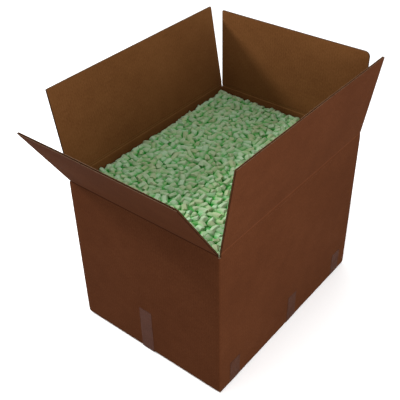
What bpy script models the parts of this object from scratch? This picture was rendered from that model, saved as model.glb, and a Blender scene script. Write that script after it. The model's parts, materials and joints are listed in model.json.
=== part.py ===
"""Open corrugated shipping carton, taped underneath and filled with loose foam packing peanuts.

Metres, +Z up. The origin is the centre of the carton's footprint, on the surface that it stands on.
+X runs along the long side, and the front is -Y. The four top flaps turn on their creases: each
flap's own origin lies on its crease, at the outer face of its wall.
"""
import math
import random

import bmesh
import bpy
from mathutils import Euler, Matrix, Vector

# Carton, outside sizes
CARTON_LENGTH = 0.610
CARTON_WIDTH = 0.457
CARTON_HEIGHT = 0.457  # from the floor to the creases of the front and back flaps
BOARD = 0.0045  # single wall corrugated board
FOLD_RADIUS = 0.0005  # inside of a fold
FOLD_SEGMENTS = 4
LAYER_GAP = 0.0003  # between one layer of board and the next
SEAM_GAP = 0.001  # between the two outer bottom flaps, and the two outer top flaps when closed
SLOT_DEPTH = 0.001  # of a corner slot, below the creases of the short flaps
TAB_WIDTH = 0.035  # glued tab inside the front right corner
TAB_SINK = 0.002  # how far the tab runs into the walls that it is glued to
TAB_END_GAP = 0.001  # from the tab to the folds above and below it

# Top flaps
CREASE_GAP = 0.0003  # from a crease to the edge of the board on either side of it
FLAP_SIDE_GAP = 0.0005  # from the side of a closed flap to the board beside it
FLAP_CORNER = 0.002  # radius of a sound free corner
WORN_CORNER_RIGHT = 0.0135  # front corner of the right flap, worn round
WORN_CORNER_FRONT = 0.0055  # right corner of the front flap, blunted
FLAP_CORNER_SEGMENTS = 4
LEAN = {"front": 8.9, "back": 9.6, "left": 32.1, "right": 0.0}  # degrees outwards from upright

# Clear tape
TAPE_WIDTH = 0.040
TAPE_THICKNESS = 0.0002
TAPE_GAP = 0.0003  # from the tape to the board, and between crossing strips
TAPE_BEND_SEGMENTS = 4
SEAM_TAPE_Y = 0.006
SEAM_TAPE_RISE = 0.148  # top of its ends on the short walls
CROSS_TAPES = {  # across the bottom: middle of the strip along X, and top of its ends
    "left": (0.062 - CARTON_LENGTH / 2, 0.0765),
    "middle": (0.0135, 0.0945),
    "right": (CARTON_LENGTH / 2 - 0.0585, 0.0810),
}

# Packing peanuts
FILL_GAP = 0.0005  # from the fill to the board around it
BED_DROP = 0.0252  # from the long creases down to the level between the top peanuts
PEAK_DROP = 0.0155  # from the long creases down to the highest peanut
PEANUT_RADIUS = (0.0085, 0.0102)
PEANUT_LENGTH = (0.024, 0.042)
PEANUT_BULGE = 1.14  # middle of a peanut over its ends
PEANUT_BOW = 0.18  # how far its middle bows to one side, over its radius
PEANUT_SIDES = 5
PEANUT_TIP = 16.0  # degrees that a peanut may tip out of level
PEANUT_RISE = (-0.0045, 0.0030)  # of its middle over the level between the peanuts
PEANUT_SPACING = 0.54  # least distance between the middles of two peanuts, over the sum of their radii
PEANUT_TRIES = 9000
PEANUT_SEED = 11

# Levels, from the floor up
OUTER_FLAP_BOTTOM = 2 * (TAPE_THICKNESS + TAPE_GAP)
OUTER_FLAP_TOP = OUTER_FLAP_BOTTOM + BOARD
INNER_FLAP_BOTTOM = OUTER_FLAP_TOP + LAYER_GAP
INNER_FLAP_TOP = INNER_FLAP_BOTTOM + BOARD
WALL_BOTTOM = INNER_FLAP_TOP + FOLD_RADIUS
LONG_CREASE = CARTON_HEIGHT
SHORT_CREASE = LONG_CREASE - BOARD - LAYER_GAP
SLOT_FLOOR = SHORT_CREASE - CREASE_GAP - BOARD - SLOT_DEPTH
CREASES = {"front": LONG_CREASE, "back": LONG_CREASE, "left": SHORT_CREASE, "right": SHORT_CREASE}

# Half sizes and lengths that follow
HALF_LENGTH = CARTON_LENGTH / 2
HALF_WIDTH = CARTON_WIDTH / 2
INNER_HALF_LENGTH = HALF_LENGTH - BOARD
INNER_HALF_WIDTH = HALF_WIDTH - BOARD
CORNER_RADIUS = FOLD_RADIUS + BOARD  # outside of every fold
FLAP_LENGTH = HALF_WIDTH - SEAM_GAP / 2
TAB_EDGE_X = INNER_HALF_LENGTH - TAB_WIDTH
TAB_EDGE_Y = BOARD - INNER_HALF_WIDTH

OUTWARD = {
    "front": Vector((0, -1, 0)),
    "back": Vector((0, 1, 0)),
    "left": Vector((-1, 0, 0)),
    "right": Vector((1, 0, 0)),
}
OUTER_DISTANCE = {"front": HALF_WIDTH, "back": HALF_WIDTH, "left": HALF_LENGTH, "right": HALF_LENGTH}
UP = Vector((0, 0, 1))
TINY = 1e-6


def clear_scene():
    for item in list(bpy.data.objects):
        bpy.data.objects.remove(item, do_unlink=True)


def make_material(name, colour, roughness):
    material = bpy.data.materials.new(name)
    material.use_nodes = True
    shader = material.node_tree.nodes["Principled BSDF"]
    shader.inputs["Base Color"].default_value = (*colour, 1.0)
    shader.inputs["Roughness"].default_value = roughness
    shader.inputs["Metallic"].default_value = 0.0
    return material


def finish_object(name, bm, material=None):
    """Turn the faces outwards and put the mesh into the scene as one named object."""
    bmesh.ops.recalc_face_normals(bm, faces=bm.faces)
    mesh = bpy.data.meshes.new(name)
    bm.to_mesh(mesh)
    bm.free()
    if material:
        mesh.materials.append(material)
    item = bpy.data.objects.new(name, mesh)
    bpy.context.scene.collection.objects.link(item)
    return item


def join_guide(item, guide, crossing_itself=False):
    """Join a guide shape to an object with a live Boolean; the guide itself is no piece."""
    guide.hide_render = True
    guide.display_type = "WIRE"
    modifier = item.modifiers.new("join_" + guide.name, "BOOLEAN")
    modifier.operation = "UNION"
    modifier.solver = "EXACT"
    modifier.use_self = crossing_itself
    modifier.object = guide


def connected_verts(start):
    """The vertices that edges join to this one."""
    found, fresh = {start}, [start]
    while fresh:
        vert = fresh.pop()
        near = {edge.other_vert(vert) for edge in vert.link_edges} - found
        found |= near
        fresh.extend(near)
    return found


def keep_outer_skin(item):
    """Apply an object's modifiers, and close the small pockets that its joined shapes seal between them."""
    mesh = bpy.data.meshes.new_from_object(item.evaluated_get(bpy.context.evaluated_depsgraph_get()))
    bm = bmesh.new()
    bm.from_mesh(mesh)
    lowest = min(bm.verts, key=lambda vert: vert.co.z)
    pockets = set(bm.verts) - connected_verts(lowest)
    bmesh.ops.delete(bm, geom=list(pockets), context="VERTS")
    bm.to_mesh(mesh)
    bm.free()
    item.modifiers.clear()
    item.data = mesh


def sweep_faces(bm, faces, offset):
    """Make a flat group of faces into a solid of that depth."""
    swept = bmesh.ops.extrude_face_region(bm, geom=faces, use_keep_orig=True)["geom"]
    verts = [part for part in swept if isinstance(part, bmesh.types.BMVert)]
    bmesh.ops.translate(bm, verts=verts, vec=offset)
    return [part for part in swept if isinstance(part, bmesh.types.BMFace)]


def pull_face(bm, face, offset=(0, 0, 0)):
    """Extrude one face, move the new one and return it."""
    new_face = bmesh.ops.extrude_discrete_faces(bm, faces=[face])["faces"][0]
    bmesh.ops.translate(bm, verts=new_face.verts, vec=offset)
    return new_face


def corner_loop(bm, half_x, half_y, radius, level):
    """Closed loop of edges around a rectangle with rounded corners."""
    verts = []
    for quarter, (side_x, side_y) in enumerate([(1, 1), (-1, 1), (-1, -1), (1, -1)]):
        for step in range(FOLD_SEGMENTS + 1):
            angle = math.radians(90) * (quarter + step / FOLD_SEGMENTS)
            x = side_x * (half_x - radius) + radius * math.cos(angle)
            y = side_y * (half_y - radius) + radius * math.sin(angle)
            verts.append(bm.verts.new((x, y, level)))
    return [bm.edges.new((verts[i - 1], verts[i])) for i in range(len(verts))]


def straight_faces(ring):
    """The four straight stretches of the ring of board, by the side that each is on."""
    found = {}
    for face in ring:
        centre = face.calc_center_median()
        if abs(centre.x) < BOARD:
            found["back" if centre.y > 0 else "front"] = face
        elif abs(centre.y) < BOARD:
            found["right" if centre.x > 0 else "left"] = face
    return found


def raise_to_crease(bm, face, side):
    """Carry a wall up to its crease, where its top slopes down to the inside at 45 degrees."""
    face = pull_face(bm, face)
    for vert in face.verts:
        depth = OUTER_DISTANCE[side] - vert.co.dot(OUTWARD[side])
        vert.co.z = CREASES[side] - CREASE_GAP - depth


def fold_under(bm, face, side):
    """Carry a wall round its bottom fold and on as a bottom flap."""
    outward = OUTWARD[side]
    level = face.calc_center_median().z
    fold_line = outward * (OUTER_DISTANCE[side] - CORNER_RADIUS) + UP * level
    step = Matrix.Rotation(math.radians(90) / FOLD_SEGMENTS, 3, UP.cross(outward))
    for _ in range(FOLD_SEGMENTS):
        face = pull_face(bm, face)
        bmesh.ops.rotate(bm, verts=face.verts, cent=fold_line, matrix=step)
    pull_face(bm, face, outward * (CORNER_RADIUS - FLAP_LENGTH))


def box_mesh(low, high):
    bm = bmesh.new()
    size = Vector(high) - Vector(low)
    middle = (Vector(high) + Vector(low)) / 2
    bmesh.ops.create_cube(bm, size=1.0, matrix=Matrix.Translation(middle) @ Matrix.Diagonal((*size, 1.0)))
    return bm


def build_body(material):
    """Walls and bottom flaps: one sheet of board, folded, and closed with a glued tab."""
    bm = bmesh.new()
    loops = corner_loop(bm, HALF_LENGTH, HALF_WIDTH, CORNER_RADIUS, WALL_BOTTOM)
    loops += corner_loop(bm, INNER_HALF_LENGTH, INNER_HALF_WIDTH, FOLD_RADIUS, WALL_BOTTOM)
    ring = bmesh.ops.bridge_loops(bm, edges=loops)["faces"]
    rim = sweep_faces(bm, ring, UP * (SLOT_FLOOR - WALL_BOTTOM))
    for side, face in straight_faces(rim).items():
        raise_to_crease(bm, face, side)
    for side, face in straight_faces(ring).items():
        if side in ("front", "back"):
            face = pull_face(bm, face, UP * (OUTER_FLAP_TOP - INNER_FLAP_TOP))
        fold_under(bm, face, side)
    body = finish_object("carton_body", bm, material)

    low = (TAB_EDGE_X, -INNER_HALF_WIDTH - TAB_SINK, WALL_BOTTOM + TAB_END_GAP)
    high = (INNER_HALF_LENGTH + TAB_SINK, TAB_EDGE_Y, SLOT_FLOOR - TAB_END_GAP)
    join_guide(body, finish_object("glued_tab", box_mesh(low, high)))
    return body


def build_flap(side, half_width, corners, material, body):
    """A top flap, upright in its own space: outer face at y = 0, crease along X at z = 0."""
    profile = [(0, CREASE_GAP), (0, FLAP_LENGTH), (BOARD, FLAP_LENGTH), (BOARD, CREASE_GAP + BOARD)]
    bm = bmesh.new()
    end = bm.faces.new([bm.verts.new((-half_width, y, z)) for y, z in profile])
    sweep_faces(bm, [end], (2 * half_width, 0, 0))
    for end_x, radius in zip((-half_width, half_width), corners):
        corner = Vector((end_x, BOARD / 2, FLAP_LENGTH))
        edge = min(bm.edges, key=lambda edge: (sum((v.co for v in edge.verts), Vector()) / 2 - corner).length)
        bmesh.ops.bevel(bm, geom=[edge], offset=radius, segments=FLAP_CORNER_SEGMENTS, profile=0.5,
                        affect="EDGES", material=-1)
    flap = finish_object("flap_" + side, bm, material)
    outward = OUTWARD[side]
    flap.location = outward * OUTER_DISTANCE[side] + UP * CREASES[side]
    flap.rotation_euler = (math.radians(LEAN[side]), 0, math.atan2(outward.x, -outward.y))
    flap.parent = body


def build_flaps(material, body):
    long_half = INNER_HALF_LENGTH - FLAP_SIDE_GAP
    short_half = INNER_HALF_WIDTH - FLAP_SIDE_GAP
    build_flap("front", long_half, (FLAP_CORNER, WORN_CORNER_FRONT), material, body)
    build_flap("back", long_half, (FLAP_CORNER, FLAP_CORNER), material, body)
    build_flap("left", short_half, (FLAP_CORNER, FLAP_CORNER), material, body)
    build_flap("right", short_half, (WORN_CORNER_RIGHT, FLAP_CORNER), material, body)


def strip_path(half_span, rise, underside, depth):
    """Points down one wall, under the carton and up the other, at a depth into the tape."""
    radius = CORNER_RADIUS + TAPE_GAP + depth
    wall = half_span + TAPE_GAP + depth
    points = [(wall, rise)]
    for step in range(TAPE_BEND_SEGMENTS + 1):
        angle = math.radians(90) * step / TAPE_BEND_SEGMENTS
        across = wall - radius + radius * math.cos(angle)
        points.append((across, underside - depth + radius * (1 - math.sin(angle))))
    return points + [(-across, level) for across, level in reversed(points)]


def build_tape(name, half_span, rise, underside, along, across, middle, material):
    """A strip of tape round the bottom: its long side edge, swept by the width of the tape."""
    bm = bmesh.new()
    start = across * (middle - TAPE_WIDTH / 2)
    rows = []
    for depth in (0, TAPE_THICKNESS):
        path = strip_path(half_span, rise, underside, depth)
        rows.append([bm.verts.new(start + along * distance + UP * level) for distance, level in path])
    inner, outer = rows
    side = [bm.faces.new((inner[i], inner[i + 1], outer[i + 1], outer[i])) for i in range(len(inner) - 1)]
    sweep_faces(bm, side, across * TAPE_WIDTH)
    finish_object(name, bm, material)


def build_tapes(material):
    along_x, along_y = OUTWARD["right"], OUTWARD["back"]
    for place, (middle, rise) in CROSS_TAPES.items():
        build_tape("tape_cross_" + place, HALF_WIDTH, rise, TAPE_THICKNESS, along_y, along_x, middle, material)
    seam_underside = OUTER_FLAP_BOTTOM - TAPE_GAP
    build_tape("tape_seam", HALF_LENGTH, SEAM_TAPE_RISE, seam_underside, along_x, along_y, SEAM_TAPE_Y, material)


def peanut_form():
    """One peanut of unit radius and length along X: a blunt foam rod, fat and bowed in the middle."""
    bm = bmesh.new()
    bmesh.ops.create_cone(bm, cap_ends=True, segments=PEANUT_SIDES, radius1=1, radius2=1, depth=1)
    long_edges = [edge for edge in bm.edges if abs(edge.verts[0].co.z - edge.verts[1].co.z) > 0.5]
    bmesh.ops.subdivide_edges(bm, edges=long_edges, cuts=1)
    for vert in bm.verts:
        if abs(vert.co.z) < 0.25:
            vert.co.xy = vert.co.xy * PEANUT_BULGE + Vector((PEANUT_BOW, 0))
    bmesh.ops.rotate(bm, verts=bm.verts, matrix=Matrix.Rotation(math.radians(90), 3, "Y"))
    form = bpy.data.meshes.new("peanut_form")
    bm.to_mesh(form)
    bm.free()
    return form


def spine(x, y, heading, length, radius):
    """Three points along the middle of a peanut, seen from above."""
    reach = (length - radius) / 2
    return [Vector((x + t * reach * math.cos(heading), y + t * reach * math.sin(heading))) for t in (-1, 0, 1)]


def keep_in_carton(x, y, heading, length, radius):
    """Move a peanut clear of the walls and the glued tab, seen from above."""
    fat = radius * (PEANUT_BULGE + PEANUT_BOW)
    room_x = INNER_HALF_LENGTH - FILL_GAP - fat - abs(math.cos(heading)) * length / 2
    room_y = INNER_HALF_WIDTH - FILL_GAP - fat - abs(math.sin(heading)) * length / 2
    x = min(max(x, -room_x), room_x)
    beside_tab = x - room_x > -TAB_WIDTH
    return x, min(max(y, -room_y + (BOARD if beside_tab else 0)), room_y)


def scatter_peanuts():
    """Places for the top layer of peanuts: tried at random, kept where the others leave room."""
    chance = random.Random(PEANUT_SEED)
    kept = []
    for _ in range(PEANUT_TRIES):
        radius = chance.uniform(*PEANUT_RADIUS)
        length = chance.uniform(*PEANUT_LENGTH)
        heading = chance.uniform(0, math.pi)
        x = chance.uniform(-INNER_HALF_LENGTH, INNER_HALF_LENGTH)
        y = chance.uniform(-INNER_HALF_WIDTH, INNER_HALF_WIDTH)
        x, y = keep_in_carton(x, y, heading, length, radius)
        points = spine(x, y, heading, length, radius)
        if all((p - q).length > PEANUT_SPACING * (radius + other)
               for _, other_points, other in kept for p in points for q in other_points):
            tip = math.radians(chance.uniform(-PEANUT_TIP, PEANUT_TIP))
            roll = chance.uniform(0, 2 * math.pi)
            rise = chance.uniform(*PEANUT_RISE)
            top = abs(math.sin(tip)) * length / 2 + radius * (PEANUT_BULGE + PEANUT_BOW)
            level = LONG_CREASE - max(BED_DROP - rise, PEAK_DROP + top)
            place = Matrix.LocRotScale((x, y, level), Euler((roll, tip, heading)), (length, radius, radius))
            kept.append((place, points, radius))
    return [place for place, _, _ in kept]


def build_fill(material):
    """The peanuts, fused: a bed that fills the carton, and single peanuts lying on its top."""
    half_x = INNER_HALF_LENGTH - FILL_GAP
    half_y = INNER_HALF_WIDTH - FILL_GAP
    tab_x = TAB_EDGE_X - FILL_GAP
    tab_y = TAB_EDGE_Y + FILL_GAP
    outline = [(-half_x, -half_y), (tab_x, -half_y), (tab_x, tab_y), (half_x, tab_y), (half_x, half_y),
               (-half_x, half_y)]
    bed_bottom = INNER_FLAP_TOP + FILL_GAP
    bm = bmesh.new()
    base = bm.faces.new([bm.verts.new((x, y, bed_bottom)) for x, y in outline])
    sweep_faces(bm, [base], UP * (LONG_CREASE - BED_DROP - bed_bottom))
    well_half = HALF_LENGTH - FLAP_LENGTH - FILL_GAP
    for side_x in (-1, 1):
        underside = [face for face in bm.faces if all(v.co.z < bed_bottom + TINY for v in face.verts)]
        around = {part for face in underside for part in (*face.verts, *face.edges, face)}
        bmesh.ops.bisect_plane(bm, geom=list(around), plane_co=(side_x * well_half, 0, 0), plane_no=(1, 0, 0))
    well = min(bm.faces, key=lambda face: abs(face.calc_center_median().x) + face.calc_center_median().z)
    pull_face(bm, well, UP * (OUTER_FLAP_TOP - INNER_FLAP_TOP))
    fill = finish_object("loose_fill", bm, material)

    heap = bmesh.new()
    form = peanut_form()
    for place in scatter_peanuts():
        first = len(heap.verts)
        heap.from_mesh(form)
        heap.verts.ensure_lookup_table()
        bmesh.ops.transform(heap, verts=heap.verts[first:], matrix=place)
    join_guide(fill, finish_object("top_peanuts", heap), crossing_itself=True)
    keep_outer_skin(fill)


def main():
    clear_scene()
    board = make_material("kraft_board", (0.112, 0.036, 0.014), 0.85)
    tape = make_material("clear_tape", (0.19, 0.12, 0.09), 0.25)
    foam = make_material("green_foam", (0.27, 0.41, 0.22), 0.9)
    body = build_body(board)
    build_flaps(board, body)
    build_tapes(tape)
    build_fill(foam)


main()
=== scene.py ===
import json
import math
import random

import bmesh
import bpy
import numpy as np
from mathutils import Matrix, Vector, noise


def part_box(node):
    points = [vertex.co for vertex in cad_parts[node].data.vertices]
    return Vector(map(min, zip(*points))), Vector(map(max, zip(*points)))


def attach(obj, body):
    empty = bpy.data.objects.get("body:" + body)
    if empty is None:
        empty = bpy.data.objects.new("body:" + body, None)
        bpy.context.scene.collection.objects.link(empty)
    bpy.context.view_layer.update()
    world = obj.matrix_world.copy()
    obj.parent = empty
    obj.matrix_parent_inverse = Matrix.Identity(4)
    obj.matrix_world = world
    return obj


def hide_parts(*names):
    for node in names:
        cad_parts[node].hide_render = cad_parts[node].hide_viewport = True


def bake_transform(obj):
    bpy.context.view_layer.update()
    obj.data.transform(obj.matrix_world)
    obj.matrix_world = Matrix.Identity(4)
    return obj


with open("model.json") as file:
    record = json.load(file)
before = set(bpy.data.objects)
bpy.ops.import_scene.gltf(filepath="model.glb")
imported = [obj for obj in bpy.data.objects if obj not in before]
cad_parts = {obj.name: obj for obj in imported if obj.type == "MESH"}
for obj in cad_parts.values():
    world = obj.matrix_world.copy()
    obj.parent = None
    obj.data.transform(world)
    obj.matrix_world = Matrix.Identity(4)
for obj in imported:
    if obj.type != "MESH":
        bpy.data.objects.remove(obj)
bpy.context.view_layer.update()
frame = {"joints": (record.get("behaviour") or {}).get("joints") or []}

# Places that every piece shares, all taken from the frame
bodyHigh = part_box("carton_body")[1]
joints = {joint["name"]: joint for joint in frame["joints"]}
halfLength = bodyHigh.x
halfWidth = bodyHigh.y
longCrease = joints["front_crease"]["pos_m"][2]
shortCrease = joints["left_crease"]["pos_m"][2]
up = Vector((0, 0, 1))
tiny = 1e-6

board = {
    "thickness": 0.0045,  # C flute
    "liner": 0.0005,
    "medium": 0.0004,
    "flutePitch": 0.0072,
    "foldRadius": 0.0035,  # outside of a fold
    "foldSteps": 5,
    "bulge": 0.0012,  # the fill pushes the walls out by this much
    "creaseHalf": 0.0050,  # pressed band at a crease, half its width
}

sides = {  # outward direction, and the number that keeps its pattern apart from the others
    "front": {"outward": Vector((0, -1, 0)), "patch": 0},
    "right": {"outward": Vector((1, 0, 0)), "patch": 1},
    "back": {"outward": Vector((0, 1, 0)), "patch": 2},
    "left": {"outward": Vector((-1, 0, 0)), "patch": 3},
}
opposite = {"front": "back", "back": "front", "left": "right", "right": "left"}
levelPatch = 4  # the pattern's number on level faces
patchStep = 1.7  # metres between two patches of the board's pattern
squareOn = 0.8  # a face looks along a direction when its normal has at least this much of it


def smooth(value):  # 0 to 1, with soft ends
    value = min(max(value, 0.0), 1.0)
    return value * value * (3 - 2 * value)


def linear(hexText, alpha=1.0):  # sRGB hex colour to a linear one
    parts = [int(hexText[i:i + 2], 16) / 255 for i in (1, 3, 5)]
    return (*[p / 12.92 if p <= 0.04045 else ((p + 0.055) / 1.055) ** 2.4 for p in parts], alpha)


def addNode(tree, kind, inputs=None, **fields):  # one node, with its fields, values and links
    node = tree.nodes.new(kind)
    for field, value in fields.items():
        setattr(node, field, value)
    for socket, value in (inputs or {}).items():
        if isinstance(value, bpy.types.NodeSocket):
            tree.links.new(value, node.inputs[socket])
        else:
            node.inputs[socket].default_value = value
    return node


def newMaterial(name):
    material = bpy.data.materials.new(name)
    material.use_nodes = True
    return material, material.node_tree, material.node_tree.nodes["Principled BSDF"]


def setShader(shader, **values):
    for socket, value in values.items():
        shader.inputs[socket.replace("_", " ")].default_value = value


def finishPiece(name, bm, materials, smoothAngle=40):  # mesh to object, at the origin
    mesh = bpy.data.meshes.new(name)
    bm.to_mesh(mesh)
    bm.free()
    for material in materials:
        mesh.materials.append(material)
    mesh.shade_smooth()
    mesh.set_sharp_from_angle(angle=math.radians(smoothAngle))
    piece = bpy.data.objects.new(name, mesh)
    bpy.context.scene.collection.objects.link(piece)
    return piece


def addBlock(bm, low, high):
    place = Matrix.Translation((high + low) / 2)
    bmesh.ops.create_cube(bm, size=1, matrix=place @ Matrix.Diagonal((*(high - low), 1)))


# Kraft board: unbleached sulphate liner, calendered, so matt with a cloudy formation, fine dark and
# pale fibres, and the flutes showing through as a faint washboard
kraft = {
    "outer": ("#532E1A", "#663D25", "#3E2010"),  # middle, pale and dark tones; darker than the inside, partly as painted shade
    "inner": ("#6A4425", "#7D5532", "#4E2F17"),  # the inside liner: partly a yellower sheet, partly painted warm light
    "paleOuter": ("#5E3520", "#6F452B", "#482613"),  # lighter along the long flaps' outer crease
    "pressed": ("#785230", "#8A633C", "#5C3B20"),  # polished by the creasing rule
    "folded": ("#371C0F", "#4A2817", "#281309"),  # painted shade along the short flaps' creases
    "cutEdge": ("#7E6450", "#957B66", "#5E4736"),  # raw fibre where the die cut across the flutes
    "slotEdge": ("#20120B", "#302013", "#150B06"),  # and where it cut along them: painted shade of the open flutes
    "medium": ("#5C3C26", "#704E35", "#432A19"),  # recycled, so greyer
    "cloudSize": 0.034,
    "cloudDepth": 0.12,  # how far a pattern shifts the tone towards the pale or the dark one
    "sweepSize": 0.21,
    "sweepDepth": 0.18,
    "fleckSize": 0.0022,  # real fibres are finer; drawn as coarse as shows
    "fleckLength": 3.0,
    "fleckDepth": 0.25,
    "fluteDepth": 0.05,
    "roughness": 0.86,
    "gloss": 0.02,
    "bump": 0.00012,
    "bumpStrength": 0.35,
}


def kraftBoard(name, tones):
    colour, pale, dark = tones
    material, tree, shader = newMaterial(name)
    place = addNode(tree, "ShaderNodeUVMap", uv_map="boardMap").outputs[0]
    stretched = addNode(tree, "ShaderNodeMapping", {"Vector": place,
                                                    "Scale": (1, 1 / kraft["fleckLength"], 1)})
    cloud = addNode(tree, "ShaderNodeTexNoise", {"Vector": place, "Scale": 1 / kraft["cloudSize"],
                                                 "Detail": 4.0, "Roughness": 0.6}).outputs[0]
    sweep = addNode(tree, "ShaderNodeTexNoise", {"Vector": place, "Scale": 1 / kraft["sweepSize"],
                                                 "Detail": 2.0, "Roughness": 0.5}).outputs[0]
    fleck = addNode(tree, "ShaderNodeTexNoise", {"Vector": stretched.outputs[0], "Detail": 2.0,
                                                 "Scale": 1 / kraft["fleckSize"],
                                                 "Roughness": 0.65}).outputs[0]
    flute = addNode(tree, "ShaderNodeTexWave",  # a scale of 1 gives 20 waves in 2 pi metres
                    {"Vector": place, "Distortion": 0.0, "Scale": 2 * math.pi / (20 * board["flutePitch"])},
                    wave_type="BANDS", bands_direction="X", wave_profile="SIN").outputs[1]
    patterns = ((cloud, 0.3, 0.7, kraft["cloudDepth"]), (sweep, 0.3, 0.7, kraft["sweepDepth"]),
                (fleck, 0.35, 0.65, kraft["fleckDepth"]), (flute, 0, 1, kraft["fluteDepth"]))
    total = None
    for pattern, low, high, depth in patterns:
        shift = addNode(tree, "ShaderNodeMapRange", {"Value": pattern, "From Min": low, "From Max": high,
                                                     "To Min": -depth, "To Max": depth}).outputs[0]
        total = shift if total is None else addNode(tree, "ShaderNodeMath", {0: total, 1: shift},
                                                    operation="ADD").outputs[0]
    lift = addNode(tree, "ShaderNodeMath", {0: total, 1: 0.0}, operation="MAXIMUM")
    drop = addNode(tree, "ShaderNodeMath", {0: total, 1: -1.0}, operation="MULTIPLY", use_clamp=True)
    light = addNode(tree, "ShaderNodeMix", {0: lift.outputs[0], 6: linear(colour), 7: linear(pale)},
                    data_type="RGBA")
    mixed = addNode(tree, "ShaderNodeMix", {0: drop.outputs[0], 6: light.outputs[2], 7: linear(dark)},
                    data_type="RGBA")
    height = addNode(tree, "ShaderNodeMath", {0: flute, 1: fleck}, operation="ADD")
    bump = addNode(tree, "ShaderNodeBump", {"Height": height.outputs[0], "Strength": kraft["bumpStrength"],
                                            "Distance": kraft["bump"]})
    setShader(shader, Roughness=kraft["roughness"], Specular_IOR_Level=kraft["gloss"])
    tree.links.new(mixed.outputs[2], shader.inputs["Base Color"])
    tree.links.new(bump.outputs[0], shader.inputs["Normal"])
    return material


papers = {  # each paper's material, in the order of a board piece's material slots
    "outer": "kraftOuterLiner",
    "cutEdge": "kraftCutEdge",
    "medium": "flutingMedium",
    "inner": "kraftInnerLiner",
    "paleOuter": "kraftPaleOuterCrease",
    "folded": "kraftCreasePaintedShade",
    "slotEdge": "kraftSlotEdgeShade",
    "pressed": "kraftPressedCreaseLit",
}
boardMaterials = [kraftBoard(name, kraft[paper]) for paper, name in papers.items()]
paperSlot = {paper: index for index, paper in enumerate(papers)}


def mapBoard(bm):  # pattern map in metres: u across the flutes, v along them
    layer = bm.loops.layers.uv.new("boardMap")
    for face in bm.faces:
        side = max(sides, key=lambda name: face.normal.dot(sides[name]["outward"]))
        level = abs(face.normal.z) > squareOn
        shift = patchStep * (levelPatch if level else sides[side]["patch"])
        for loop in face.loops:
            co = loop.vert.co
            across = co.y if side in ("left", "right") and not level else co.x
            loop[layer].uv = (across + shift, co.y if level else co.z)


def markRims(verts, rim):  # remember the open edge of a sheet before it gets its thickness
    for vert in verts:
        vert[rim] = int(vert.is_boundary)


def extrudeBy(bm, edges, shift):  # carry edges on, and give back the ones at the far end
    made = bmesh.ops.extrude_edge_only(bm, edges=edges)["geom"]
    verts = {part for part in made if isinstance(part, bmesh.types.BMVert)}
    bmesh.ops.translate(bm, verts=list(verts), vec=shift)
    return [part for part in made
            if isinstance(part, bmesh.types.BMEdge) and all(v in verts for v in part.verts)]


def wallDistance(side):  # from the middle of the carton
    return halfWidth if side in ("front", "back") else halfLength


def wallBulge(point, side):  # how far a wall stands out at a point of its outer face
    across = point.x / halfLength if side in ("front", "back") else point.y / halfWidth
    level = point.z / longCrease
    if not 0 < level < 1:
        return 0.0
    return board["bulge"] * math.cos(min(abs(across), 1) * math.pi / 2) * math.sin(level * math.pi)


def nearestSide(point):
    return max(sides, key=lambda name: point.dot(sides[name]["outward"]) - wallDistance(name))


# Walls and bottom flaps: one folded sheet
carcass = {
    "slotFloor": shortCrease - 0.0058,  # walls end here; the creases above belong to the flaps
    "innerFold": 0.0058,  # underside of the short bottom flaps
    "outerFold": 0.0010,  # underside of the long bottom flaps
    "flapLength": halfWidth - 0.0005,
    "columns": {(1, 0, 0): 46, (0, 1, 0): 34, (0, 0, 1): 34},  # cuts across the edges that run this way
    "crushes": [  # bottom corners that have been dropped on: place, reach, how far they give
        ((1, -1), 0.010, 0.0009),
        ((-1, -1), 0.006, 0.0002),
        ((-1, 1), 0.012, 0.0008),
        ((1, 1), 0.018, 0.0020),
    ],
    "crushRise": 0.8,  # upwards, over the way in along each wall
    "crushSlant": 0.7,  # share of the give that each way takes
    "crushWave": 0.5,  # unevenness of a crush, and its size
    "crushWaveSize": 0.009,
}


def boxEdges(bm, level, side):  # the straight bottom edges of one wall
    outward = sides[side]["outward"]
    distance = wallDistance(side)
    corners = {v for v in bm.verts
               if abs(v.co.z - level) < tiny and abs(v.co.dot(outward) - distance) < tiny}
    return [edge for edge in bm.edges if all(v in corners for v in edge.verts)]


def foldUnder(bm, edges, side, drop):  # carry a wall round its bottom fold as a bottom flap
    outward = sides[side]["outward"]
    if drop:
        edges = extrudeBy(bm, edges, -up * drop)
    centre = outward * (wallDistance(side) - board["foldRadius"]) + up * edges[0].verts[0].co.z
    verts = list({v for edge in edges for v in edge.verts})
    turned = bmesh.ops.spin(bm, geom=verts + edges, cent=centre, axis=up.cross(outward), dvec=(0, 0, 0),
                            angle=math.radians(90), steps=board["foldSteps"], use_merge=False,
                            use_duplicate=False)["geom_last"]
    last = [part for part in turned if isinstance(part, bmesh.types.BMEdge)]
    reach = carcass["flapLength"] - board["foldRadius"]
    for _ in range(2):
        last = extrudeBy(bm, last, -outward * reach / 2)


def settle(bm):  # walls pushed out by the fill, corners crushed by handling
    for vert in bm.verts:
        side = nearestSide(vert.co)
        vert.co += sides[side]["outward"] * wallBulge(vert.co, side)
        for (signX, signY), reach, give in carcass["crushes"]:
            away = vert.co - Vector((signX * halfLength, signY * halfWidth, carcass["outerFold"]))
            if away.length < reach:
                share = smooth(1 - away.length / reach)
                wave = 1 + carcass["crushWave"] * noise.noise(vert.co / carcass["crushWaveSize"])
                inwards = Vector((-signX, -signY, carcass["crushRise"]))
                vert.co += inwards * give * share * wave * carcass["crushSlant"]


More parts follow.
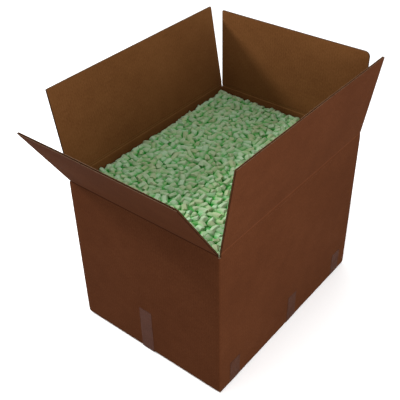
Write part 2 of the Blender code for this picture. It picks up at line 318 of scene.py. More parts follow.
def makeCarcass():
    bm = bmesh.new()
    bmesh.ops.create_grid(bm, x_segments=1, y_segments=1, size=0.5)
    bmesh.ops.scale(bm, verts=bm.verts, vec=(2 * halfLength, 2 * halfWidth, 1))
    bmesh.ops.bevel(bm, geom=bm.verts[:], offset=board["foldRadius"], segments=board["foldSteps"],
                    profile=0.5, affect="VERTICES", material=-1)
    bottom = carcass["innerFold"] + board["foldRadius"]
    bmesh.ops.translate(bm, verts=bm.verts, vec=up * bottom)
    bmesh.ops.delete(bm, geom=bm.faces[:], context="FACES_ONLY")
    extrudeBy(bm, bm.edges[:], up * (carcass["slotFloor"] - bottom))
    for direction, cuts in carcass["columns"].items():
        way = Vector(direction)
        along = [edge for edge in bm.edges
                 if abs((edge.verts[1].co - edge.verts[0].co).dot(way)) > board["foldRadius"] * 4]
        bmesh.ops.subdivide_edges(bm, edges=along, cuts=cuts, use_grid_fill=True)
    for side in sides:
        drop = carcass["innerFold"] - carcass["outerFold"] if side in ("front", "back") else 0
        foldUnder(bm, boxEdges(bm, bottom, side), side, drop)
    bmesh.ops.remove_doubles(bm, verts=bm.verts, dist=tiny)
    settle(bm)
    rim = bm.verts.layers.int.new("rim")
    markRims(bm.verts, rim)
    bmesh.ops.recalc_face_normals(bm, faces=bm.faces)
    bmesh.ops.solidify(bm, geom=bm.faces[:], thickness=board["thickness"])
    for face in bm.faces:
        inside = face.normal.dot(face.calc_center_median() - up * longCrease) < 0
        cut = all(v[rim] for v in face.verts)
        face.material_index = paperSlot["cutEdge" if cut else "inner" if inside else "outer"]
    mapBoard(bm)
    return finishPiece("cartonWalls", bm, boardMaterials)


walls = makeCarcass()
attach(walls, "carton")
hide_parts("carton_body")
print("walls and bottom flaps", len(walls.data.polygons), "faces")

# The glued tab inside the front right corner
tab = {
    "width": 0.0350,
    "bottom": 0.0130,
    "top": carcass["slotFloor"] - 0.0010,
    "glueGap": 0.0002,
    "edge": 0.0006,
}


def makeTab():
    bm = bmesh.new()
    inner = halfWidth - board["thickness"]
    high = Vector((halfLength - board["thickness"] - tab["glueGap"], board["thickness"] - inner, tab["top"]))
    low = Vector((high.x - tab["width"], tab["glueGap"] - inner, tab["bottom"]))
    addBlock(bm, low, high)
    upright = [edge for edge in bm.edges if abs(edge.verts[0].co.z - edge.verts[1].co.z) > tiny]
    bmesh.ops.bevel(bm, geom=upright, offset=tab["edge"], segments=2, profile=0.5, affect="EDGES",
                    material=-1)
    for face in bm.faces:
        face.material_index = paperSlot["inner"]
    mapBoard(bm)
    return finishPiece("gluedTab", bm, boardMaterials)


gluedTab = makeTab()
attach(gluedTab, "carton")
print("glued tab done")

# Top flaps: two liners with the fluted medium between them, pressed thin along the crease
flaps = {
    "front": {"corners": (0.0020, 0.0055), "warp": 0.0012},
    "back": {"corners": (0.0020, 0.0020), "warp": -0.0010},
    "left": {"corners": (0.0020, 0.0020), "warp": 0.0009},
    "right": {"corners": (0.0135, 0.0020), "warp": 0.0011},
    "creaseRows": (-0.0052, -0.0040, -0.0030, -0.0020, -0.0010, 0.0,
                   0.0010, 0.0020, 0.0030, 0.0040, 0.0052),
    "nearRows": (0.008, 0.014, 0.03),  # the board is flat up to the last of these
    "farRows": (0.15, 0.3, 0.45, 0.6, 0.75, 0.87, 0.94, 0.975, 0.99, 1),  # shares of the way from there
    "endColumns": (0.0, 0.0006, 0.0018, 0.0035, 0.006, 0.009, 0.0125, 0.02),  # in from either side
    "columns": 40,
    "fluteSteps": 6,
    "dip": 0.0009,  # of the inner liner along the crease
    "dipFlat": 0.0026,  # half of the dip's level part
    "score": 0.0004,  # of the outer liner
    "scoreHalf": 0.0016,
    "outerCreaseBand": (-1, 0.0021),  # distances from the crease that bound the band outside
    "pressedBand": (0.0019, 0.0041),  # and inside
    "cornerFade": 8,  # a power, so that a rounded corner draws only the rows near it
    "bowFade": 0.9,  # the warp ends a little past the sides
    "ripple": 0.0005,
    "rippleSize": (0.11, 0.16),
}


def readFlap(side):  # crease, lean and size of one flap, from its box and joint
    low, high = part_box("flap_" + side)
    pivot = Vector(joints[side + "_crease"]["pos_m"])
    outward = sides[side]["outward"]
    along = Vector((1, 0, 0)) if side in ("front", "back") else Vector((0, 1, 0))
    reach = max(corner.dot(outward) for corner in (low, high)) - pivot.dot(outward)
    rise = high.z - pivot.z
    lean = 0.0
    for _ in range(6):  # the box's top is the inner face's, so the lean is closed in on
        lean = math.atan2(max(reach, 0.0), rise - board["thickness"] * math.sin(lean))
    length = math.hypot(reach, rise - board["thickness"] * math.sin(lean))
    half = (high - low).dot(along) / 2
    return {"pivot": pivot, "outward": outward, "along": along, "lean": lean, "length": length, "half": half,
            **flaps[side]}


def flapPoint(flap, s, d, h):  # s along the crease, d in from the outer face, h up from the crease
    turn = flap["lean"] * smooth((h + board["creaseHalf"]) / (2 * board["creaseHalf"]))
    flat = flaps["nearRows"][-1]
    share = smooth((h - flat) / (flap["length"] - flat))
    sizeS, sizeH = flaps["rippleSize"]
    spot = Vector((s / sizeS, h / sizeH, flap["pivot"].x * 3 + flap["pivot"].y))
    bow = flap["warp"] * share * math.cos(s / flap["half"] * math.pi / 2 * flaps["bowFade"])
    d = d + bow + flaps["ripple"] * share * noise.noise(spot)
    reach = h * math.sin(turn) - d * math.cos(turn)
    rise = h * math.cos(turn) + d * math.sin(turn)
    return flap["pivot"] + flap["along"] * s + flap["outward"] * reach + up * rise


def cornerDrop(flap, s):  # how much of the free edge is rounded away here
    radius = flap["corners"][1 if s > 0 else 0]
    into = abs(s) - (flap["half"] - radius)
    return radius - math.sqrt(max(radius * radius - into * into, 0)) if into > 0 else 0.0


def flapSheet(bm, flap, columns, rows, depthAt, depth, look):  # one paper of the flap
    made = bmesh.ops.create_grid(bm, x_segments=len(columns) - 1, y_segments=len(rows) - 1, size=0.5)
    verts = made["verts"]
    faces = list({face for vert in verts for face in vert.link_faces})
    layer = bm.loops.layers.uv["boardMap"]
    rim = bm.verts.layers.int["rim"]
    flat = {}
    for vert in verts:
        s = columns[round((vert.co.x + 0.5) * (len(columns) - 1))]
        h = rows[round((vert.co.y + 0.5) * (len(rows) - 1))]
        if h > 0:
            h -= cornerDrop(flap, s) * (h / flap["length"]) ** flaps["cornerFade"]
        flat[vert] = (s, h)
    shift = patchStep * sides[look["patchSide"]]["patch"]
    for face in faces:
        for loop in face.loops:
            s, h = flat[loop.vert]
            loop[layer].uv = (s + shift, h + flap["pivot"].z)
    for vert in verts:
        s, h = flat[vert]
        vert.co = flapPoint(flap, s, depthAt(s, h), h)
    bmesh.ops.recalc_face_normals(bm, faces=faces)
    if sum(face.normal.dot(flap["outward"]) for face in faces) * look["facing"] < 0:
        bmesh.ops.reverse_faces(bm, faces=faces)
    markRims(verts, rim)
    known = set(bm.faces) - set(faces)
    bmesh.ops.solidify(bm, geom=faces, thickness=depth)
    nearest, farthest = look["band"]
    far = (0, 1)  # what the solidified side counts as, so that no crease shows on it
    for face in bm.faces:
        if face not in known:
            onSide = abs(face.normal.dot(flap["along"])) > squareOn
            paper = look["face"]
            if all(v[rim] for v in face.verts):
                # side cuts take the painted shade of the open flutes
                paper = "slotEdge" if onSide else look["edge"]
            elif all(nearest < abs(flat.get(v, far)[1]) < farthest for v in face.verts):
                paper = look["crease"]
            face.material_index = paperSlot[paper]


def makeFlap(side):
    flap = readFlap(side)
    half = flap["half"]
    flat = flaps["nearRows"][-1]
    rows = [carcass["slotFloor"] - flap["pivot"].z, *flaps["creaseRows"], *flaps["nearRows"]]
    rows += [flat + (flap["length"] - flat) * share for share in flaps["farRows"]]
    ends = flaps["endColumns"]
    span = 2 * half - 2 * ends[-1]
    columns = [-half + end for end in ends]
    columns += [-half + ends[-1] + span * i / flaps["columns"] for i in range(1, flaps["columns"])]
    columns += [half - end for end in reversed(ends)]
    steps = round(2 * half / board["flutePitch"]) * flaps["fluteSteps"]
    fluteColumns = [-half + 2 * half * i / steps for i in range(steps + 1)]
    fluteRows = rows[:1] + rows[2:-3:2] + rows[-1:]  # every other row is enough here

    def press(h):  # 1 in the middle of the crease, 0 beside it
        return 1 - smooth((abs(h) - flaps["dipFlat"]) / (board["creaseHalf"] - flaps["dipFlat"]))

    def outerDepth(s, h):
        return flaps["score"] * (1 - smooth(abs(h) / flaps["scoreHalf"]))

    def innerDepth(s, h):
        return board["thickness"] - flaps["dip"] * press(h)

    def mediumDepth(s, h):
        low = outerDepth(s, h) + board["liner"]
        high = innerDepth(s, h) - board["liner"]
        middle = (low + high) / 2
        swing = (high - low - board["medium"]) / 2
        return middle - board["medium"] / 2 + swing * math.sin(2 * math.pi * s / board["flutePitch"])

    bm = bmesh.new()
    bm.loops.layers.uv.new("boardMap")
    bm.verts.layers.int.new("rim")
    # the short flaps' outer crease band is painted shade
    crease = "paleOuter" if side in ("front", "back") else "folded"
    flapSheet(bm, flap, columns, rows, outerDepth, board["liner"],
              {"patchSide": side, "facing": 1, "face": "outer", "edge": "cutEdge", "crease": crease,
               "band": flaps["outerCreaseBand"]})
    # the inner liner's crease band is painted light
    flapSheet(bm, flap, columns, rows, innerDepth, board["liner"],
              {"patchSide": opposite[side], "facing": -1, "face": "inner", "edge": "cutEdge",
               "crease": "pressed", "band": flaps["pressedBand"]})
    flapSheet(bm, flap, fluteColumns, fluteRows, mediumDepth, board["medium"],
              {"patchSide": side, "facing": 1, "face": "medium", "edge": "medium", "crease": "medium",
               "band": flaps["outerCreaseBand"]})
    piece = finishPiece("flap" + side.capitalize(), bm, boardMaterials, 50)
    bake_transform(piece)
    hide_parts("flap_" + side)
    print(side, "flap, lean", round(math.degrees(flap["lean"]), 2), "length", round(flap["length"], 4),
          len(piece.data.polygons), "faces")


for side in sides:
    makeFlap(side)

# Packing peanuts: expanded starch, extruded and chopped, so blunt rods with a skin and open cut ends
heap = {
    "seed": 5,
    "radius": (0.0086, 0.0106),
    "length": (0.017, 0.031),
    "tip": 20,  # degrees that one may lie askew to the two that carry it
    "forms": 9,
    "cell": 0.0025,  # of the grid of heights
    "floor": 0.380,  # the separate peanuts start here
    "level": 0.4520,  # tops of the highest peanuts, before any is pressed down
    "flapClearance": 0.0018,  # under the closed short flaps, for their warp
    "bedDrop": 0.0123,  # the rest lies this much lower
    "most": 4000,
    "tries": 40,
    "proud": 300,  # peanuts that lie on top of the rest
    "proudTries": 1,
    "misses": 160,  # in a row, and the carton counts as full
    "dips": 0.005,  # how far the level sinks in places
    "dipSizes": (0.16, 0.06),
    "banked": 0.0045,  # how far it rises at the right wall
    "bankWidth": 0.10,
    "wallGap": 0.0006,
    "nestle": 0.72,  # how high a peanut stands over its supports, over its radius
    "steepest": 60,  # degrees
    "rock": 0.4,  # share of its slope that one keeps where its middle carries it
    "highEnd": 0.3,  # share of its length that its slope lifts
    "stations": 7,  # points along a peanut that can touch
    "endInset": 0.35,  # from its end to the last of them, over the radius
    "besides": (-0.55, 0, 0.55),  # and their places across it
    "crown": 0.95,
    "skin": 0.020,  # peanuts deeper than this under the surface are left to the core
    "meanReach": 4,  # cells to each side that a surface height is averaged over
    "creaseAngle": 38,
}

wedge = {  # small ones slipped into the gaps that are left
    "length": (0.015, 0.025),
    "thinner": 0.96,
    "turns": 12,
    "sink": 0.30,
    "depth": 0.0213,  # of a gap that takes one
    "under": 0.0128,  # the level
    "steepest": 65,
    "limit": 1500,
    "reach": 2,  # cells
}

rod = {  # one peanut's form, over its radius and length
    "sides": 7,
    "blunt": 0.05,
    "bend": (0.0, 0.25),
    "squeeze": (0.80, 1.0),
    "bulge": (0.02, 0.12),
    "phase": (0, 6.28),
    "skew": (-0.30, 0.30),  # of its cut ends
    "skewDepth": 0.4,
    "neck": 0.05,  # ripple along its length
    "neckTurns": 5,
    "lump": 0.16,
    "lumpScale": (1.3, 1.3, 1.1),
}

foam = {
    "top": "#B2D0AC",
    "warm": "#ADBE92",
    # painted shade and glow for peanuts deep under the surface around
    "gapShadeAndGlow": "#04A82A",
    "deepFrom": -0.0030,  # depth under the surface around
    "deepTo": 0.0077,
    "roughness": 0.9,
    "gloss": 0.2,
    "pores": 0.0012,
    "poreDepth": 0.0004,
    "poreStrength": 0.5,
}


def fillLevel(x, y):
    broad, fine = heap["dipSizes"]
    wave = noise.noise(Vector((x / broad, y / broad, 2.3)))
    wave += 0.5 * noise.noise(Vector((x / fine, y / fine, 8.1)))
    bank = min(max(1 - (halfLength - x) / heap["bankWidth"], 0), 1)
    return heap["level"] - heap["dips"] * min(max(0.5 + wave, 0), 1) + heap["banked"] * bank


def makeGround():  # height of the heap so far over a grid of the carton's inside
    ground = {"halfX": halfLength - board["thickness"] - heap["wallGap"],
              "halfY": halfWidth - board["thickness"] - heap["wallGap"]}
    ground["xs"] = np.arange(-ground["halfX"], ground["halfX"], heap["cell"])
    ground["ys"] = np.arange(-ground["halfY"], ground["halfY"], heap["cell"])
    ground["height"] = np.full((len(ground["xs"]), len(ground["ys"])), heap["floor"])
    ground["level"] = np.array([[fillLevel(x, y) for y in ground["ys"]] for x in ground["xs"]])
    return ground


def cellAt(ground, x, y):
    ix = np.rint((x + ground["halfX"]) / heap["cell"]).astype(int)
    iy = np.rint((y + ground["halfY"]) / heap["cell"]).astype(int)
    return np.clip(ix, 0, len(ground["xs"]) - 1), np.clip(iy, 0, len(ground["ys"]) - 1)


def boxMean(grid, reach):  # mean over a square around each cell
    total = np.pad(grid, ((reach + 1, reach), (reach + 1, reach)), mode="edge").cumsum(0).cumsum(1)
    span = 2 * reach + 1
    inSquare = total[span:, span:] - total[:-span, span:] - total[span:, :-span] + total[:-span, :-span]
    return inSquare / span ** 2


def keepInside(ground, x, y, heading, radius, length):  # push peanuts in from the walls and the glued tab
    reachX = np.abs(np.cos(heading)) * length / 2 + radius * np.abs(np.sin(heading)) + heap["wallGap"]
    reachY = np.abs(np.sin(heading)) * length / 2 + radius * np.abs(np.cos(heading)) + heap["wallGap"]
    x = np.clip(x, reachX - ground["halfX"], ground["halfX"] - reachX)
    y = np.clip(y, reachY - ground["halfY"], ground["halfY"] - reachY)
    tabX = halfLength - board["thickness"] - tab["width"]
    tabY = 2 * board["thickness"] - halfWidth
    nearTab = (x + reachX > tabX) & (y - reachY < tabY)
    return x, np.where(nearTab, tabY + reachY, y)


def heightsUnder(ground, x, y, heading, radius, length):  # highest point under each station along a peanut
    along = np.linspace(-1, 1, heap["stations"])[None, :, None] * (length / 2 - radius * heap["endInset"])
    across = np.array(heap["besides"])[None, None, :] * radius
    cos, sin = np.cos(heading)[:, None, None], np.sin(heading)[:, None, None]
    cells = cellAt(ground, x[:, None, None] + cos * along - sin * across,
                   y[:, None, None] + sin * along + cos * across)
    return ground["height"][cells].max(axis=2)


def putDown(ground, place, heading, tilt, radius, length):
    x, y, z = place
    reach = length / 2 + radius
    (x0, x1), (y0, y1) = (np.searchsorted(line, [at - reach, at + reach])
                          for line, at in ((ground["xs"], x), (ground["ys"], y)))
    dx, dy = np.meshgrid(ground["xs"][x0:x1] - x, ground["ys"][y0:y1] - y, indexing="ij")
    along = dx * math.cos(heading) + dy * math.sin(heading)
    across = np.abs(dy * math.cos(heading) - dx * math.sin(heading))
    under = (np.abs(along) <= length / 2 * math.cos(tilt)) & (across < radius)
    top = z + along * math.tan(tilt) + np.sqrt(np.maximum(radius ** 2 - across ** 2, 0)) * heap["crown"]
    patch = ground["height"][x0:x1, y0:y1]
    patch[under] = np.maximum(patch[under], top[under])
    return {"place": place, "heading": heading, "tilt": tilt, "radius": radius, "length": length}


def dropPeanuts(ground, rng, count, tries, drop):  # each rests as low as it can, on two that carry it
    kept, missed = [], 0
    steps = np.linspace(-1, 1, heap["stations"])
    middle = heap["stations"] // 2
    left, right = steps[:middle], steps[middle + 1:]
    span = right[None, :] - left[:, None]
    limit = math.tan(math.radians(heap["steepest"]))
    every = np.arange(tries)
    while missed < heap["misses"] and len(kept) < count:
        radius, length = rng.uniform(*heap["radius"]), rng.uniform(*heap["length"])
        heading = rng.uniform(0, math.pi, tries)
        x, y = (rng.uniform(-1, 1, tries) * ground[half] for half in ("halfX", "halfY"))
        x, y = keepInside(ground, x, y, heading, radius, length)
        under = heightsUnder(ground, x, y, heading, radius, length)
        low, high = under[:, :middle], under[:, middle + 1:]
        carried = low[:, :, None] * right[None, None, :] - high[:, None, :] * left[None, :, None]
        carried = (carried / span[None]).reshape(tries, -1)
        firmest = carried.argmax(axis=1)
        carried = carried[every, firmest]
        a, b = np.unravel_index(firmest, span.shape)
        slope = (high[every, b] - low[every, a]) / span[a, b]
        slope = np.where(under[:, middle] > carried, slope * heap["rock"], slope)
        slope = np.clip(slope / (length / 2 - radius * heap["endInset"]), -limit, limit)
        rest = np.maximum(carried, under[:, middle]) + radius * heap["nestle"]
        top = rest + radius + np.abs(slope) * length * heap["highEnd"]
        rest = np.where(top > ground["level"][cellAt(ground, x, y)] - drop, np.inf, rest)
        best = int(np.argmin(rest))
        if not np.isfinite(rest[best]):
            missed += 1
            continue
        missed = 0
        kept.append(putDown(ground, (x[best], y[best], rest[best]), heading[best], math.atan(slope[best]),
                            radius, length))
    return kept


def wedgePeanuts(ground, rng):
    kept = []
    done = np.zeros_like(ground["height"])
    headings = np.linspace(0, math.pi, wedge["turns"], endpoint=False)
    steps = np.linspace(-1, 1, heap["stations"])
    limit = math.tan(math.radians(wedge["steepest"]))
    reach = wedge["reach"]
    for _ in range(wedge["limit"]):
        depth = ground["level"] - boxMean(ground["height"], reach) - done
        ix, iy = np.unravel_index(depth.argmax(), depth.shape)
        if depth[ix, iy] < wedge["depth"]:
            break
        radius, length = rng.uniform(*heap["radius"]) * wedge["thinner"], rng.uniform(*wedge["length"])
        x, y = np.full(wedge["turns"], ground["xs"][ix]), np.full(wedge["turns"], ground["ys"][iy])
        x, y = keepInside(ground, x, y, headings, radius, length)
        under = heightsUnder(ground, x, y, headings, radius, length)
        best = int(under.mean(axis=1).argmin())
        slope = (under[best] * steps).sum() / (steps ** 2).sum() / (length / 2)
        slope = min(max(slope, -limit), limit)
        top = ground["level"][ix, iy] - radius - abs(slope) * length * heap["highEnd"] - wedge["under"]
        rest = min(under[best].mean() + radius * wedge["sink"], top)
        before = ground["height"][ix, iy]
        kept.append(putDown(ground, (x[best], y[best], rest), headings[best], math.atan(slope),
                            radius, length))
        if ground["height"][ix, iy] < before + heap["cell"]:  # it fills no gap, so the place is left
            done[max(ix - reach, 0):ix + reach + 1, max(iy - reach, 0):iy + reach + 1] = 1
    return kept


def peanutForm(rng):  # one chopped rod of unit radius and length along X, fat and bent in the middle
    bm = bmesh.new()
    bmesh.ops.create_cone(bm, cap_ends=True, segments=rod["sides"], radius1=1, radius2=1, depth=1)
    caps = [face for face in bm.faces if len(face.verts) == rod["sides"]]
    rims = list({edge for face in caps for edge in face.edges})
    bmesh.ops.bevel(bm, geom=rims, offset=rod["blunt"], segments=1, profile=0.5, affect="EDGES", material=-1,
                    offset_type="OFFSET")
    long = [edge for edge in bm.edges if abs(edge.verts[0].co.z - edge.verts[1].co.z) > 0.5]
    bmesh.ops.subdivide_edges(bm, edges=long, cuts=1)
    bend, squeeze, bulge, phase = (rng.uniform(*rod[name]) for name in ("bend", "squeeze", "bulge", "phase"))
    skew = [rng.uniform(*rod["skew"]) for _ in range(4)]
    scaleX, scaleY, scaleT = rod["lumpScale"]
    for vert in bm.verts:
        t = vert.co.z * 2
        swell = 1 + bulge * (1 - t * t) + rod["neck"] * math.sin(rod["neckTurns"] * t + phase)
        spot = Vector((vert.co.x * scaleX + phase, vert.co.y * scaleY, t * scaleT))
        lump = 1 + rod["lump"] * noise.noise(spot)
        vert.co.x *= swell * lump
        vert.co.y *= swell * lump * squeeze
        slantX, slantY = skew[:2] if t < 0 else skew[2:]
        vert.co.z += abs(t) * (slantX * vert.co.x + slantY * vert.co.y) * rod["skewDepth"]
        vert.co.x += bend * (0.5 - t * t)
    bmesh.ops.rotate(bm, verts=bm.verts, matrix=Matrix.Rotation(math.radians(90), 3, "Y"))
    mesh = bpy.data.meshes.new("peanutForm")
    bm.to_mesh(mesh)
    bm.free()
    return mesh


def makeHeap():
    ground = makeGround()
    spots = np.random.default_rng(heap["seed"])
    peanuts = dropPeanuts(ground, spots, heap["most"], heap["tries"], heap["bedDrop"])
    peanuts += wedgePeanuts(ground, spots)
    peanuts += dropPeanuts(ground, spots, heap["proud"], heap["proudTries"], 0)
    around = boxMean(ground["height"], heap["meanReach"])
    ceiling = shortCrease - board["thickness"] - heap["flapClearance"]
    rng = random.Random(heap["seed"])
    forms = [peanutForm(rng) for _ in range(heap["forms"])]
    bm = bmesh.new()
    tone = bm.verts.layers.float.new("tone")
    sunk = bm.verts.layers.float.new("sunk")
    shown = 0
    for peanut in peanuts:
        place = Vector(peanut["place"])
        if place.z + peanut["radius"] < around[cellAt(ground, place.x, place.y)] - heap["skin"]:
            continue
        shown += 1
        tilt = peanut["tilt"] + math.radians(rng.uniform(-heap["tip"], heap["tip"]))
        turn = Matrix.Rotation(peanut["heading"], 3, "Z") @ Matrix.Rotation(-tilt, 3, "Y") \
            @ Matrix.Rotation(rng.uniform(0, 2 * math.pi), 3, "X")
        size = Matrix.Diagonal((peanut["length"], peanut["radius"], peanut["radius"]))
        first = len(bm.verts)
        bm.from_mesh(rng.choice(forms))
        bm.verts.ensure_lookup_table()
        fresh = bm.verts[first:]
        bmesh.ops.transform(bm, matrix=Matrix.Translation(place) @ (turn @ size).to_4x4(), verts=fresh)
        over = max(vert.co.z for vert in fresh) - ceiling
        if over > 0:
            bmesh.ops.translate(bm, verts=fresh, vec=-up * over)
        colour = rng.uniform(-1, 1)
        for vert in fresh:
            vert[tone] = colour
            # depth under the surface around, which sets the painted shade and glow
            vert[sunk] = around[cellAt(ground, vert.co.x, vert.co.y)] - vert.co.z
    for form in forms:
        bpy.data.meshes.remove(form)
    print("peanuts", len(peanuts), "laid,", shown, "shown, highest", round(max(v.co.z for v in bm.verts), 4))
    return finishPiece("peanutHeap", bm, [foamMaterial], heap["creaseAngle"])


def foamStuff():  # expanded starch: matt, slightly translucent; peanuts deep under the surface around are painted a darker, saturated green as shade and glow of light through the foam
    material, tree, shader = newMaterial("expandedStarchFoam")
    place = addNode(tree, "ShaderNodeTexCoord").outputs["Object"]
    tone = addNode(tree, "ShaderNodeAttribute", attribute_name="tone").outputs["Fac"]
    sunk = addNode(tree, "ShaderNodeAttribute", attribute_name="sunk").outputs["Fac"]
    warmth = addNode(tree, "ShaderNodeMapRange", {"Value": tone, "From Min": -1, "From Max": 1, "To Min": 0.0,
                                                  "To Max": 1.0})
    skin = addNode(tree, "ShaderNodeMix", {0: warmth.outputs[0], 6: linear(foam["top"]),
                                           7: linear(foam["warm"])}, data_type="RGBA")
    # painted shade and glow, by depth under the surface around
    gapShadeAndGlow = addNode(tree, "ShaderNodeMapRange", {"Value": sunk, "From Min": foam["deepFrom"],
                                                "From Max": foam["deepTo"], "To Min": 0.0, "To Max": 1.0},
                   interpolation_type="SMOOTHSTEP")
    colour = addNode(tree, "ShaderNodeMix", {0: gapShadeAndGlow.outputs[0], 6: skin.outputs[2], 7: linear(foam["gapShadeAndGlow"])},
                     data_type="RGBA")
    pores = addNode(tree, "ShaderNodeTexNoise", {"Vector": place, "Scale": 1 / foam["pores"], "Detail": 2.0})
    bump = addNode(tree, "ShaderNodeBump", {"Height": pores.outputs[0], "Strength": foam["poreStrength"],
                                            "Distance": foam["poreDepth"]})
    setShader(shader, Roughness=foam["roughness"], Specular_IOR_Level=foam["gloss"])
    tree.links.new(colour.outputs[2], shader.inputs["Base Color"])
    tree.links.new(bump.outputs[0], shader.inputs["Normal"])
    return material


foamMaterial = foamStuff()
peanutHeap = makeHeap()
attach(peanutHeap, "carton")
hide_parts("loose_fill")

# The peanuts lower down, which nothing shows, as one block
# the hidden block's sunk value gives it the full painted shade and glow
core = {"inset": 0.0010, "bottom": 0.0115, "top": heap["floor"] + 0.022, "sunk": 0.03}


def makeCore():
    bm = bmesh.new()
    halfX, halfY = (half - board["thickness"] - core["inset"] for half in (halfLength, halfWidth))
    addBlock(bm, Vector((-halfX, -halfY, core["bottom"])), Vector((halfX, halfY, core["top"])))
    tone = bm.verts.layers.float.new("tone")
    sunk = bm.verts.layers.float.new("sunk")
    for vert in bm.verts:
        vert[tone] = 0.0
        vert[sunk] = core["sunk"]
    return finishPiece("peanutCore", bm, [foamMaterial])


peanutCore = makeCore()
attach(peanutCore, "carton")
print("peanut core done")

# Clear tape: biaxially oriented polypropylene film, pressed flat on the board, so the board's pattern
# shows through it in the film's own tones, under a faint gloss
tape = {
    "seamTones": ("#553428", "#694435", "#40251B"),
    "crossTones": ("#4B2A1B", "#5C3825", "#391E13"),
    "alpha": 0.93,
    "coat": 0.10,
    "roughness": 0.25,
    "thickness": 0.00015,
    "offBoard": 0.00045,
    "foldSteps": 6,
    "columns": 14,
    "rowLength": 0.004,
    "wrinkle": 0.00022,
    "wrinkleSize": (0.010, 0.022),  # across and along
    "tooth": 0.0006,  # of the saw-cut ends
    "skew": 0.05,  # of the ends, over the width
    "cutIn": 0.001,
    "cutFade": 0.012,  # how far from an end its cut still draws the film
    "smoothAngle": 60,
}


def filmOnKraft(name, tones):
    material = kraftBoard(name, tones)
    setShader(material.node_tree.nodes["Principled BSDF"], Alpha=tape["alpha"], Coat_Weight=tape["coat"],
              Coat_Roughness=tape["roughness"])
    return material


seamFilm = filmOnKraft("clearFilmOnLeftKraft", tape["seamTones"])
crossFilm = filmOnKraft("clearFilmOnFrontKraft", tape["crossTones"])


def tapePath(halfSpan, rise, underside):  # straight down a wall, round the fold, under, and up again
    radius = board["foldRadius"] + tape["offBoard"]
    wall = halfSpan + tape["offBoard"]
    turn = [(wall - radius + radius * math.cos(a), underside + radius * (1 - math.sin(a)))
            for a in (math.radians(90) * i / tape["foldSteps"] for i in range(tape["foldSteps"] + 1))]
    half = [(wall, rise), *turn]
    return half + [(-x, z) for x, z in reversed(half)]


def walk(path, distance):  # the point that far along a path
    for (x0, z0), (x1, z1) in zip(path, path[1:]):
        step = math.hypot(x1 - x0, z1 - z0)
        if distance <= step or (x1, z1) == path[-1]:
            share = distance / step
            return x0 + (x1 - x0) * share, z0 + (z1 - z0) * share
        distance -= step


def makeTape(node, alongX):
    low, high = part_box(node)
    middle = (low + high) / 2
    width = high.y - low.y if alongX else high.x - low.x
    centre = middle.y if alongX else middle.x
    underside = low.z + tape["thickness"]
    path = tapePath(halfLength if alongX else halfWidth, high.z, underside)
    total = sum(math.hypot(b[0] - a[0], b[1] - a[1]) for a, b in zip(path, path[1:]))
    bm = bmesh.new()
    bmesh.ops.create_grid(bm, x_segments=tape["columns"], y_segments=int(total / tape["rowLength"]), size=0.5)
    seed = centre * 13
    wrinkleAcross, wrinkleAlong = tape["wrinkleSize"]
    for vert in bm.verts:
        across, share = vert.co.x, vert.co.y + 0.5
        skew = tape["skew"] * across * math.sin(seed * 7)
        tooth = tape["tooth"] if round((across + 0.5) * tape["columns"]) % 2 else 0
        fromEnd = min(share, 1 - share) * total
        shift = (tooth + skew * width + tape["cutIn"]) * smooth(1 - fromEnd / tape["cutFade"])
        distance = share * total + (shift if share < 0.5 else -shift)
        reach, level = walk(path, min(max(distance, 0), total))
        spot = Vector((across * width / wrinkleAcross, distance / wrinkleAlong, seed))
        pucker = tape["wrinkle"] * noise.noise(spot)
        point = Vector((reach, centre + across * width, level)) if alongX \
            else Vector((centre + across * width, reach, level))
        if level > underside + tiny:
            side = nearestSide(point)
            point += sides[side]["outward"] * (wallBulge(point, side) + max(pucker, 0))
        vert.co = point
    bmesh.ops.recalc_face_normals(bm, faces=bm.faces)
    if min(bm.faces, key=lambda face: face.calc_center_median().z).normal.z > 0:
        bmesh.ops.reverse_faces(bm, faces=bm.faces)
    bmesh.ops.solidify(bm, geom=bm.faces[:], thickness=tape["thickness"])
    mapBoard(bm)  # so that the board's pattern runs on under the film
    piece = finishPiece(node.replace("_", ""), bm, [seamFilm if alongX else crossFilm], tape["smoothAngle"])
    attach(piece, "carton")
    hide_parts(node)


for node in ("tape_cross_left", "tape_cross_middle", "tape_cross_right"):
    makeTape(node, False)
makeTape("tape_seam", True)
print("tape done")

# Plain pale floor, which shows white and still takes the shadow
stage = {"floorSize": 12.0, "floor": "#BEBEBE", "seen": 1.25}


def seenDirectly(tree):  # 1 for what the camera sees, also in a reflection or through film
    rays = addNode(tree, "ShaderNodeLightPath").outputs
    glossy = addNode(tree, "ShaderNodeMath", {0: rays["Is Camera Ray"], 1: rays["Is Glossy Ray"]},
                     operation="MAXIMUM")
    return addNode(tree, "ShaderNodeMath", {0: glossy.outputs[0], 1: rays["Is Transmission Ray"]},
                   operation="MAXIMUM").outputs[0]


def makeFloor():
    bm = bmesh.new()
    bmesh.ops.create_grid(bm, x_segments=2, y_segments=2, size=stage["floorSize"] / 2)
    material, tree, shader = newMaterial("paleFloor")
    white = (stage["seen"], stage["seen"], stage["seen"], 1)
    colour = addNode(tree, "ShaderNodeMix", {0: seenDirectly(tree), 6: linear(stage["floor"]), 7: white},
                     data_type="RGBA")
    setShader(shader, Roughness=1.0, Specular_IOR_Level=0.0)
    tree.links.new(colour.outputs[2], shader.inputs["Base Color"])
    finishPiece("floor", bm, [material])


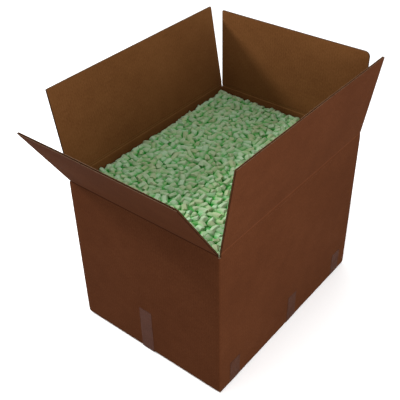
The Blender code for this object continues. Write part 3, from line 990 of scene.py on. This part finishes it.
def makeWorld(strength):
    world = bpy.data.worlds.new("studio")
    bpy.context.scene.world = world
    world.use_nodes = True
    tree = world.node_tree
    tree.nodes.clear()
    soft = addNode(tree, "ShaderNodeBackground", {"Color": (1, 1, 1, 1), "Strength": strength})
    white = addNode(tree, "ShaderNodeBackground", {"Color": (1, 1, 1, 1), "Strength": 1.0})
    mix = addNode(tree, "ShaderNodeMixShader", {0: seenDirectly(tree), 1: soft.outputs[0],
                                                2: white.outputs[0]})
    addNode(tree, "ShaderNodeOutputWorld", {"Surface": mix.outputs[0]})


def addLamp(name, lamp):
    place = Vector(lamp["aim"]) + Vector(lamp["from"]).normalized() * lamp["distance"]
    data = bpy.data.lights.new(name, "AREA")
    data.shape = "DISK"
    data.size = lamp["size"]
    data.energy = lamp["power"]
    light = bpy.data.objects.new(name, data)
    light.location = place
    light.visible_camera = False
    light.rotation_euler = (Vector(lamp["aim"]) - place).to_track_quat("-Z", "Y").to_euler()
    bpy.context.scene.collection.objects.link(light)


lights = {
    "world": 0.85,
    "key": {"aim": (0.28, 0.23, 0.60), "from": (-0.60, 0.75, 0.62), "distance": 2.0, "size": 0.35,
            "power": 34},
    "fill": {"aim": (-0.10, 0, 0.40), "from": (-0.17, -1.0, 0.36), "distance": 1.6, "size": 1.0,
             "power": 13.2},
}
makeFloor()
makeWorld(lights["world"])
for name in ("key", "fill"):
    addLamp(name + "Lamp", lights[name])
print("floor and lights done")

# The photograph's view
view = {
    "azimuth": -50.69,
    "elevation": 37.22,
    "roll": -1.22,
    "place": (-1.1655, -0.8835, 1.4237),
    "lens": 62.8,
    "sensor": 36.0,
    "clip": (0.05, 60),
}


def makeCamera():
    data = bpy.data.cameras.new("photoView")
    data.lens = view["lens"]
    data.sensor_width = view["sensor"]
    data.clip_start, data.clip_end = view["clip"]
    camera = bpy.data.objects.new("photoView", data)
    turn, rise, roll = (math.radians(view[name]) for name in ("azimuth", "elevation", "roll"))
    back = Vector((math.sin(turn) * math.cos(rise), -math.cos(turn) * math.cos(rise), math.sin(rise)))
    right = Vector((math.cos(turn), math.sin(turn), 0))
    top = back.cross(right)
    turnedRight = right * math.cos(roll) + top * math.sin(roll)
    turnedUp = top * math.cos(roll) - right * math.sin(roll)
    facing = Matrix((turnedRight, turnedUp, back)).transposed().to_4x4()
    camera.matrix_world = Matrix.Translation(view["place"]) @ facing
    bpy.context.scene.collection.objects.link(camera)
    bpy.context.scene.camera = camera


makeCamera()
bpy.context.scene.view_settings.view_transform = "Standard"
